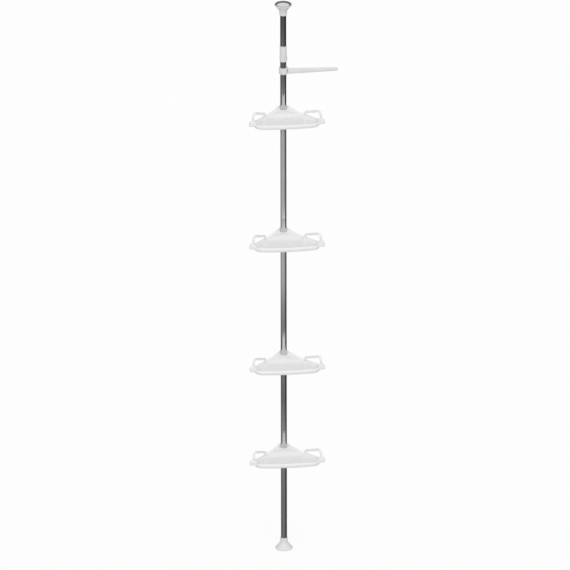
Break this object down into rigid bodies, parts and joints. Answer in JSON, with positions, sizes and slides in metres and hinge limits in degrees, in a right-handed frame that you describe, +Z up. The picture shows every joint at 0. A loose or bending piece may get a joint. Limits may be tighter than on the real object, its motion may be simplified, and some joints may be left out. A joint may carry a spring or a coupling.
{
  "type": "tension pole shelf unit",
  "caption": "Floor-to-ceiling tension pole with corner trays that slide and swivel, each with two guard rails, a swinging towel arm and a spring-loaded telescoping top.",
  "frame": {"origin": "on the floor at the pole's axis", "axes": "+Z runs up the pole to the ceiling, +Y points into the room's corner, +X to the viewer's right, the side of the towel arm"},
  "size_m": [0.3834, 0.2213, 2.462],
  "materials": {
    "white_plastic": "smooth moulded white plastic with a soft sheen",
    "polished_steel": "polished steel tube",
    "spring_steel": "drawn spring wire",
    "grey_nylon": "pale grey nylon",
    "rubber": "dark matt rubber"
  },
  "bodies": {
    "pole": {"foot_pad": "rubber", "foot_cap": "white_plastic", "pole_lower": "polished_steel", "pole_middle": "polished_steel", "pole_upper": "polished_steel", "coupler_lower": "grey_nylon", "coupler_upper": "grey_nylon", "spring_seat": "grey_nylon", "tension_spring": "spring_steel", "adjusting_sleeve": "white_plastic"},
    "lock_ring": {"lock_ring": "white_plastic"},
    "top_section": {"inner_rod": "polished_steel", "pole_top": "polished_steel", "ceiling_cap": "white_plastic", "ceiling_pad": "rubber"},
    "towel_slider": {"towel_bush": "grey_nylon"},
    "towel_holder": {"towel_ring": "white_plastic", "towel_arm": "white_plastic"},
    "clamp_knob": {"clamp_knob": "white_plastic"},
    "wedge_1": {"wedge_1_left": "grey_nylon", "wedge_1_right": "grey_nylon"},
    "shelf_1": {"tray_1": "white_plastic", "rail_1_left": "white_plastic", "rail_1_right": "white_plastic"},
    "wedge_2": {"wedge_2_left": "grey_nylon", "wedge_2_right": "grey_nylon"},
    "shelf_2": {"tray_2": "white_plastic", "rail_2_left": "white_plastic", "rail_2_right": "white_plastic"},
    "wedge_3": {"wedge_3_left": "grey_nylon", "wedge_3_right": "grey_nylon"},
    "shelf_3": {"tray_3": "white_plastic", "rail_3_left": "white_plastic", "rail_3_right": "white_plastic"},
    "wedge_4": {"wedge_4_left": "grey_nylon", "wedge_4_right": "grey_nylon"},
    "shelf_4": {"tray_4": "white_plastic", "rail_4_left": "white_plastic", "rail_4_right": "white_plastic"}
  },
  "joints": [
    {"name": "top_slide", "type": "slide", "parent": "pole", "child": "top_section", "axis": [0, 0, 1], "range_m": [-0.02, 0.04], "stiffness_N_per_m": 1200, "springref_m": 0.003, "deforming": ["tension_spring"]},
    {"name": "lock_turn", "type": "hinge", "parent": "pole", "child": "lock_ring", "pos_m": [0, 0, 2.217], "axis": [0, 0, 1], "range_deg": [0, 90]},
    {"name": "towel_slide", "type": "slide", "parent": "pole", "child": "towel_slider", "axis": [0, 0, 1], "range_m": [-0.045, 0.02]},
    {"name": "towel_swing", "type": "hinge", "parent": "towel_slider", "child": "towel_holder", "pos_m": [0, 0, 2.165], "axis": [0, 0, 1], "continuous": true},
    {"name": "clamp_turn", "type": "hinge", "parent": "towel_holder", "child": "clamp_knob", "pos_m": [0, -0.02, 2.165], "axis": [0, -1, 0], "range_deg": [0, 360]},
    {"name": "shelf_1_slide", "type": "slide", "parent": "pole", "child": "wedge_1", "axis": [0, 0, 1], "range_m": [-0.15, 0.15]},
    {"name": "shelf_1_swivel", "type": "hinge", "parent": "wedge_1", "child": "shelf_1", "pos_m": [0, 0, 0.455], "axis": [0, 0, 1], "continuous": true},
    {"name": "shelf_2_slide", "type": "slide", "parent": "pole", "child": "wedge_2", "axis": [0, 0, 1], "range_m": [-0.15, 0.15]},
    {"name": "shelf_2_swivel", "type": "hinge", "parent": "wedge_2", "child": "shelf_2", "pos_m": [0, 0, 0.878], "axis": [0, 0, 1], "continuous": true},
    {"name": "shelf_3_slide", "type": "slide", "parent": "pole", "child": "wedge_3", "axis": [0, 0, 1], "range_m": [-0.15, 0.15]},
    {"name": "shelf_3_swivel", "type": "hinge", "parent": "wedge_3", "child": "shelf_3", "pos_m": [0, 0, 1.434], "axis": [0, 0, 1], "continuous": true},
    {"name": "shelf_4_slide", "type": "slide", "parent": "pole", "child": "wedge_4", "axis": [0, 0, 1], "range_m": [-0.15, 0.045]},
    {"name": "shelf_4_swivel", "type": "hinge", "parent": "wedge_4", "child": "shelf_4", "pos_m": [0, 0, 1.986], "axis": [0, 0, 1], "continuous": true}
  ]
}
